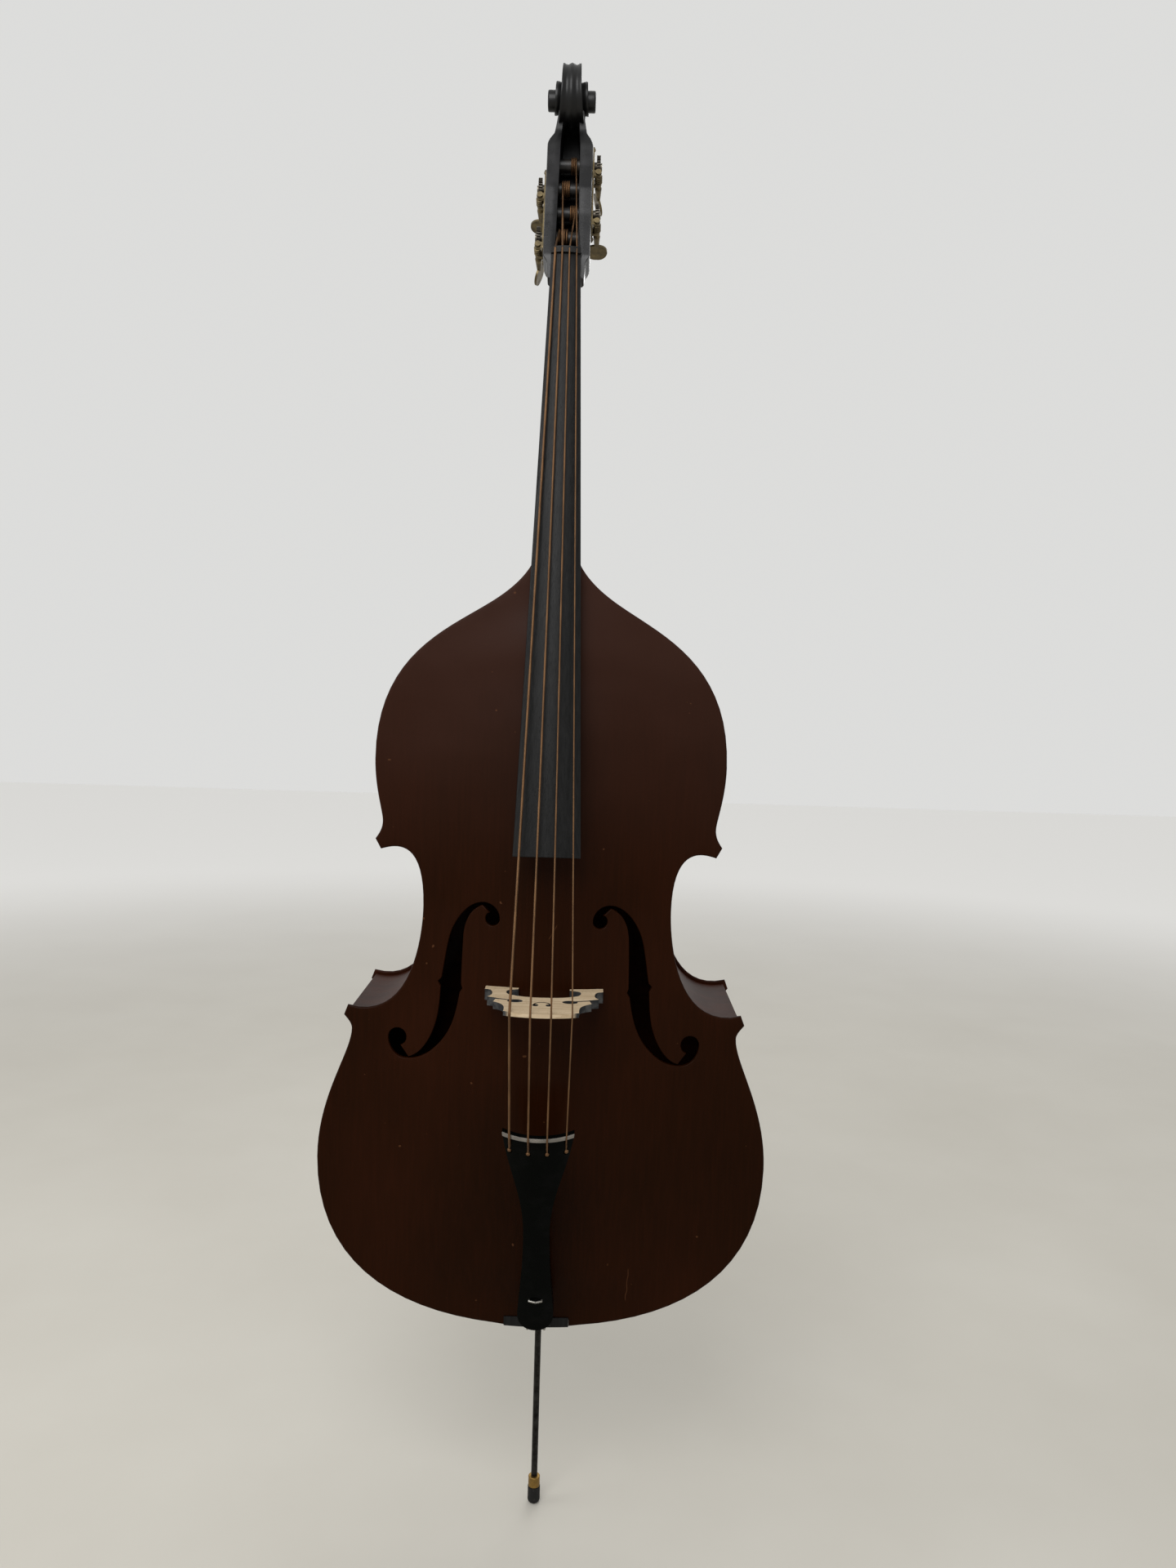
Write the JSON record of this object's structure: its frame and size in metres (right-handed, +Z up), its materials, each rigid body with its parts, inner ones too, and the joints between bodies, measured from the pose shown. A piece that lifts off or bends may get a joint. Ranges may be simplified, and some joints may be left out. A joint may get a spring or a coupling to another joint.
{
  "type": "double bass",
  "caption": "Four-string double bass with arched body, f-shaped sound holes, long neck, carved scroll, worm tuners, arched bridge, tailpiece and a telescopic endpin.",
  "frame": {"origin": "centre of the endpin rubber foot, on the floor", "axes": "+Z up the endpin and body axis, -Y out of the front plate towards the player's strings, +X to the right seen from the front"},
  "size_m": [0.6576, 0.3817, 2.222],
  "materials": {
    "varnish_front": "dark reddish-brown gloss varnish over spruce",
    "varnish_body": "dark reddish-brown gloss varnish over maple",
    "inner_wood": "bare spruce and willow inside the body",
    "neck_wood": "dark stained maple with a worn gloss",
    "black_lacquer": "black gloss lacquer on carved wood",
    "ebony": "dark hardwood, oiled",
    "maple": "unvarnished pale maple",
    "black_gloss": "black gloss",
    "grey_fret": "light grey fret",
    "steel_wire": "twisted steel wire",
    "black_steel": "black painted steel rod",
    "brass": "satin brass",
    "rubber": "black rubber",
    "aged_brass": "tarnished brass",
    "aged_steel": "tarnished steel wheel",
    "screw_steel": "dull steel screw",
    "black_peg": "black lacquered wooden roller",
    "wound_string": "copper-coloured wound string"
  },
  "bodies": {
    "bass_body": {"back_plate": "varnish_body", "bass_bar": "inner_wood", "bridge": "maple", "corner_blocks": "inner_wood", "end_block": "inner_wood", "endpin_socket": "black_gloss", "fingerboard": "ebony", "linings_back": "inner_wood", "linings_front": "inner_wood", "neck": "neck_wood", "neck_block": "inner_wood", "nut": "ebony", "plate_screws": "screw_steel", "rib_lower_left": "varnish_body", "rib_lower_right": "varnish_body", "rib_middle_left": "varnish_body", "rib_middle_right": "varnish_body", "rib_upper_left": "varnish_body", "rib_upper_right": "varnish_body", "saddle": "ebony", "scroll_head": "black_lacquer", "sound_post": "inner_wood", "string_a": "wound_string", "string_d": "wound_string", "string_e": "wound_string", "string_g": "wound_string", "tail_wire": "steel_wire", "tailpiece": "black_gloss", "tailpiece_fret": "grey_fret", "top_plate": "varnish_front", "tuner_plate_left": "aged_brass", "tuner_plate_right": "aged_brass"},
    "key_body_e": {"worm_key_e": "aged_brass"},
    "peg_body_e": {"peg_e": "black_peg", "tuner_gear_e": "aged_steel", "gear_screw_e": "screw_steel", "string_winding_e": "wound_string"},
    "key_body_a": {"worm_key_a": "aged_brass"},
    "peg_body_a": {"peg_a": "black_peg", "tuner_gear_a": "aged_steel", "gear_screw_a": "screw_steel", "string_winding_a": "wound_string"},
    "key_body_d": {"worm_key_d": "aged_brass"},
    "peg_body_d": {"peg_d": "black_peg", "tuner_gear_d": "aged_steel", "gear_screw_d": "screw_steel", "string_winding_d": "wound_string"},
    "key_body_g": {"worm_key_g": "aged_brass"},
    "peg_body_g": {"peg_g": "black_peg", "tuner_gear_g": "aged_steel", "gear_screw_g": "screw_steel", "string_winding_g": "wound_string"},
    "endpin": {"endpin_rod": "black_steel", "endpin_ferrule": "brass", "endpin_tip": "rubber"},
    "endpin_thumbscrew": {"endpin_screw": "aged_brass"}
  },
  "joints": [
    {"name": "key_turn_e", "type": "hinge", "parent": "bass_body", "child": "key_body_e", "pos_m": [-0.04245, -0.01039, 1.93876], "axis": [0, 0.9563, -0.2924], "continuous": true},
    {"name": "peg_turn_e", "type": "hinge", "parent": "bass_body", "child": "peg_body_e", "pos_m": [-0.04245, -0.00466, 1.9575], "axis": [1, 0, 0], "continuous": true},
    {"name": "key_turn_a", "type": "hinge", "parent": "bass_body", "child": "key_body_a", "pos_m": [-0.04245, 0.01359, 2.01718], "axis": [0, 0.9563, -0.2924], "continuous": true},
    {"name": "peg_turn_a", "type": "hinge", "parent": "bass_body", "child": "peg_body_a", "pos_m": [-0.04245, 0.01932, 2.03592], "axis": [1, 0, 0], "continuous": true},
    {"name": "key_turn_d", "type": "hinge", "parent": "bass_body", "child": "key_body_d", "pos_m": [0.04245, 0.0016, 1.97797], "axis": [0, 0.9563, -0.2924], "continuous": true},
    {"name": "peg_turn_d", "type": "hinge", "parent": "bass_body", "child": "peg_body_d", "pos_m": [0.04245, 0.00733, 1.99671], "axis": [1, 0, 0], "continuous": true},
    {"name": "key_turn_g", "type": "hinge", "parent": "bass_body", "child": "key_body_g", "pos_m": [0.04245, 0.02557, 2.05639], "axis": [0, 0.9563, -0.2924], "continuous": true},
    {"name": "peg_turn_g", "type": "hinge", "parent": "bass_body", "child": "peg_body_g", "pos_m": [0.04245, 0.0313, 2.07513], "axis": [1, 0, 0], "continuous": true},
    {"name": "endpin_slide", "type": "slide", "parent": "bass_body", "child": "endpin", "axis": [0, 0, 1], "range_m": [0, 0.28]},
    {"name": "endpin_screw_turn", "type": "hinge", "parent": "bass_body", "child": "endpin_thumbscrew", "pos_m": [0, 0.02, 0.3387], "axis": [0, -1, 0], "range_deg": [0, 720]}
  ],
  "couplings": [
    {"joint": "peg_turn_e", "follows": "key_turn_e", "ratio": -0.041667},
    {"joint": "peg_turn_a", "follows": "key_turn_a", "ratio": -0.041667},
    {"joint": "peg_turn_d", "follows": "key_turn_d", "ratio": 0.041667},
    {"joint": "peg_turn_g", "follows": "key_turn_g", "ratio": 0.041667}
  ]
}
